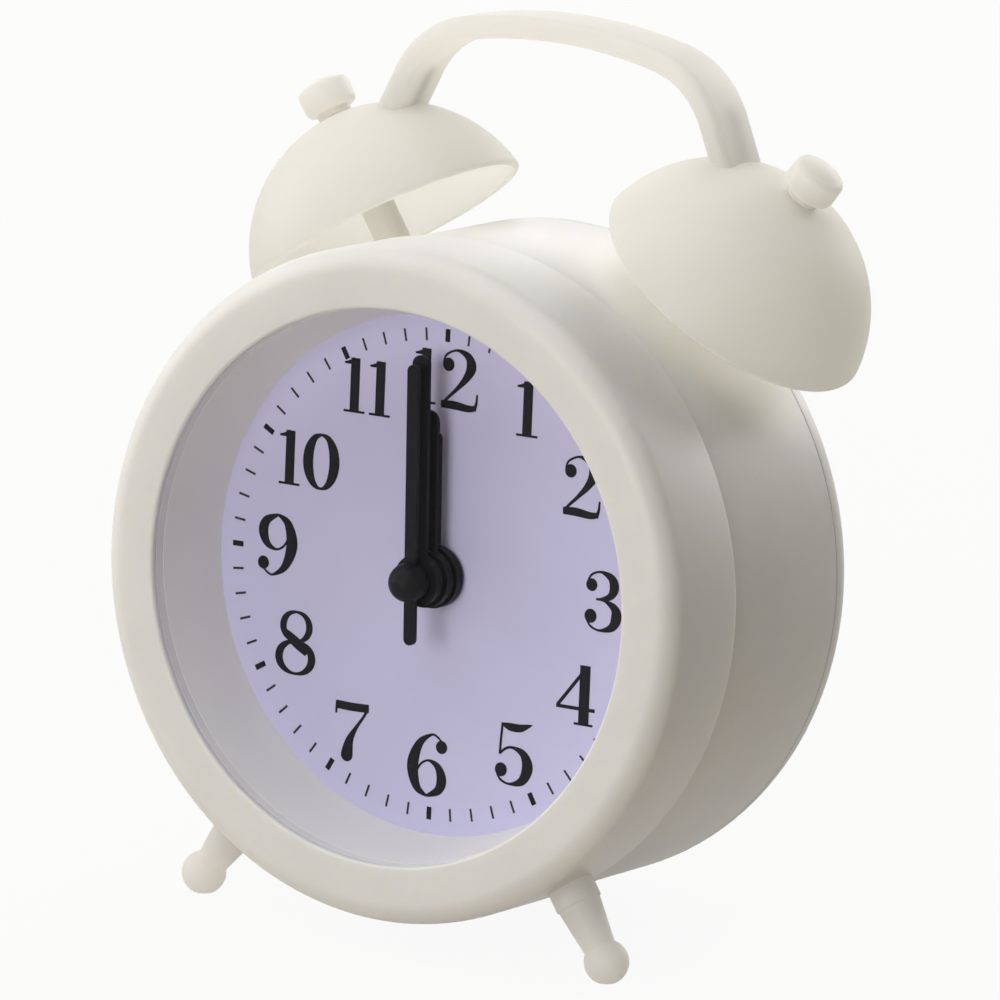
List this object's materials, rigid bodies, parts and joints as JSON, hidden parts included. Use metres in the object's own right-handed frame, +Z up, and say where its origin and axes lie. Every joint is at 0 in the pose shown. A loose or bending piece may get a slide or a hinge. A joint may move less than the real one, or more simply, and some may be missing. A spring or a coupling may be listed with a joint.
{
  "type": "twin bell alarm clock",
  "caption": "Free-standing round alarm clock with two dome bells, a strap handle, front feet, a recessed dial and a battery movement with rear controls.",
  "frame": {"origin": "middle of the footprint, on the table that the clock stands on", "axes": "+X to the right seen from the front, +Y to the back, +Z up"},
  "size_m": [0.0854, 0.0628, 0.1093],
  "materials": {
    "ivory_plastic": "moulded, satin gloss",
    "clear_lens": "clear, polished",
    "ring_plastic": "smooth moulded",
    "dial_card": "printed, matte",
    "black_hands": "smooth black",
    "plated_steel": "zinc plated",
    "movement_plastic": "fine moulded",
    "wheel_plastic": "natural acetal",
    "board": "lacquered",
    "black_plastic": "moulded black",
    "iron": "stamped soft iron",
    "copper": "enamelled wire",
    "magnet": "sintered",
    "battery_can": "plain wrapped can",
    "switch_plastic": "moulded grey",
    "wire": "soft insulation"
  },
  "bodies": {
    "case": {"bezel": "ivory_plastic", "case_shell": "ivory_plastic", "rear_cover": "ivory_plastic", "rear_cover_screws": "plated_steel", "lens": "clear_lens", "inner_ring": "ring_plastic", "dial": "dial_card", "left_bell": "ivory_plastic", "right_bell": "ivory_plastic", "left_bell_post": "ivory_plastic", "right_bell_post": "ivory_plastic", "left_bell_knob": "ivory_plastic", "right_bell_knob": "ivory_plastic", "bell_post_nuts": "plated_steel", "handle": "ivory_plastic", "handle_screws": "plated_steel", "left_foot": "ivory_plastic", "right_foot": "ivory_plastic", "foot_screws": "plated_steel", "movement_base": "movement_plastic", "movement_cover": "movement_plastic", "movement_screws": "plated_steel", "circuit_board": "board", "quartz_crystal": "plated_steel", "control_chip": "black_plastic", "stator": "iron", "coil_core": "iron", "coil_bobbin": "movement_plastic", "coil_winding": "copper", "alarm_contacts": "black_plastic", "buzzer": "black_plastic", "battery": "battery_can", "positive_contact": "plated_steel", "negative_contact": "plated_steel", "leads": "wire"},
    "second": {"second_wheel": "wheel_plastic", "second_hand": "black_hands"},
    "intermediate": {"intermediate_wheel": "wheel_plastic"},
    "rotor": {"rotor": "magnet"},
    "third": {"third_wheel": "wheel_plastic"},
    "centre": {"centre_wheel": "wheel_plastic"},
    "minute": {"minute_pipe": "plated_steel", "minute_hand": "black_hands"},
    "motion": {"motion_wheel": "wheel_plastic"},
    "hour": {"hour_wheel": "wheel_plastic", "hour_hand": "black_hands"},
    "time_set": {"time_set_shaft": "wheel_plastic", "time_set_knob": "ivory_plastic"},
    "alarm": {"alarm_wheel": "wheel_plastic", "alarm_hand": "black_hands"},
    "alarm_set": {"alarm_set_shaft": "wheel_plastic", "alarm_set_knob": "ivory_plastic"},
    "switch": {"alarm_switch": "switch_plastic"},
    "door": {"battery_door": "ivory_plastic"}
  },
  "joints": [
    {"name": "second_spin", "type": "hinge", "parent": "case", "child": "second", "pos_m": [0, -0.00271, 0.0432], "axis": [0, 0.992, -0.1264], "continuous": true},
    {"name": "intermediate_spin", "type": "hinge", "parent": "case", "child": "intermediate", "pos_m": [-0.00743, -0.00284, 0.04216], "axis": [0, 0.992, -0.1264], "continuous": true},
    {"name": "rotor_spin", "type": "hinge", "parent": "case", "child": "rotor", "pos_m": [-0.01442, -0.00289, 0.0418], "axis": [0, 0.992, -0.1264], "continuous": true},
    {"name": "third_spin", "type": "hinge", "parent": "case", "child": "third", "pos_m": [0.008, -0.00271, 0.0432], "axis": [0, 0.992, -0.1264], "continuous": true},
    {"name": "centre_spin", "type": "hinge", "parent": "case", "child": "centre", "pos_m": [0, -0.00271, 0.0432], "axis": [0, 0.992, -0.1264], "continuous": true},
    {"name": "minute_spin", "type": "hinge", "parent": "case", "child": "minute", "pos_m": [0, -0.00271, 0.0432], "axis": [0, 0.992, -0.1264], "continuous": true},
    {"name": "motion_spin", "type": "hinge", "parent": "case", "child": "motion", "pos_m": [0.00169, -0.00179, 0.05045], "axis": [0, 0.992, -0.1264], "continuous": true},
    {"name": "hour_spin", "type": "hinge", "parent": "case", "child": "hour", "pos_m": [0, -0.00271, 0.0432], "axis": [0, 0.992, -0.1264], "continuous": true},
    {"name": "time_set_spin", "type": "hinge", "parent": "case", "child": "time_set", "pos_m": [0.009, -0.00158, 0.05213], "axis": [0, 0.992, -0.1264], "continuous": true},
    {"name": "alarm_spin", "type": "hinge", "parent": "case", "child": "alarm", "pos_m": [0, -0.00271, 0.0432], "axis": [0, 0.992, -0.1264], "continuous": true},
    {"name": "alarm_set_spin", "type": "hinge", "parent": "case", "child": "alarm_set", "pos_m": [-0.009, -0.00158, 0.05213], "axis": [0, 0.992, -0.1264], "continuous": true},
    {"name": "switch_slide", "type": "slide", "parent": "case", "child": "switch", "axis": [0, 0.1264, 0.992], "range_m": [0, 0.003]},
    {"name": "door_hinge", "type": "hinge", "parent": "case", "child": "door", "pos_m": [0, 0.01599, 0.02978], "axis": [1, 0, 0], "range_deg": [0, 90]}
  ],
  "couplings": [
    {"joint": "intermediate_spin", "follows": "second_spin", "ratio": -5},
    {"joint": "rotor_spin", "follows": "second_spin", "ratio": 30},
    {"joint": "third_spin", "follows": "second_spin", "ratio": -0.13333},
    {"joint": "centre_spin", "follows": "second_spin", "ratio": 0.016667},
    {"joint": "motion_spin", "follows": "minute_spin", "ratio": -0.33333},
    {"joint": "hour_spin", "follows": "minute_spin", "ratio": 0.083333},
    {"joint": "time_set_spin", "follows": "minute_spin", "ratio": 1},
    {"joint": "alarm_set_spin", "follows": "alarm_spin", "ratio": -0.9}
  ]
}
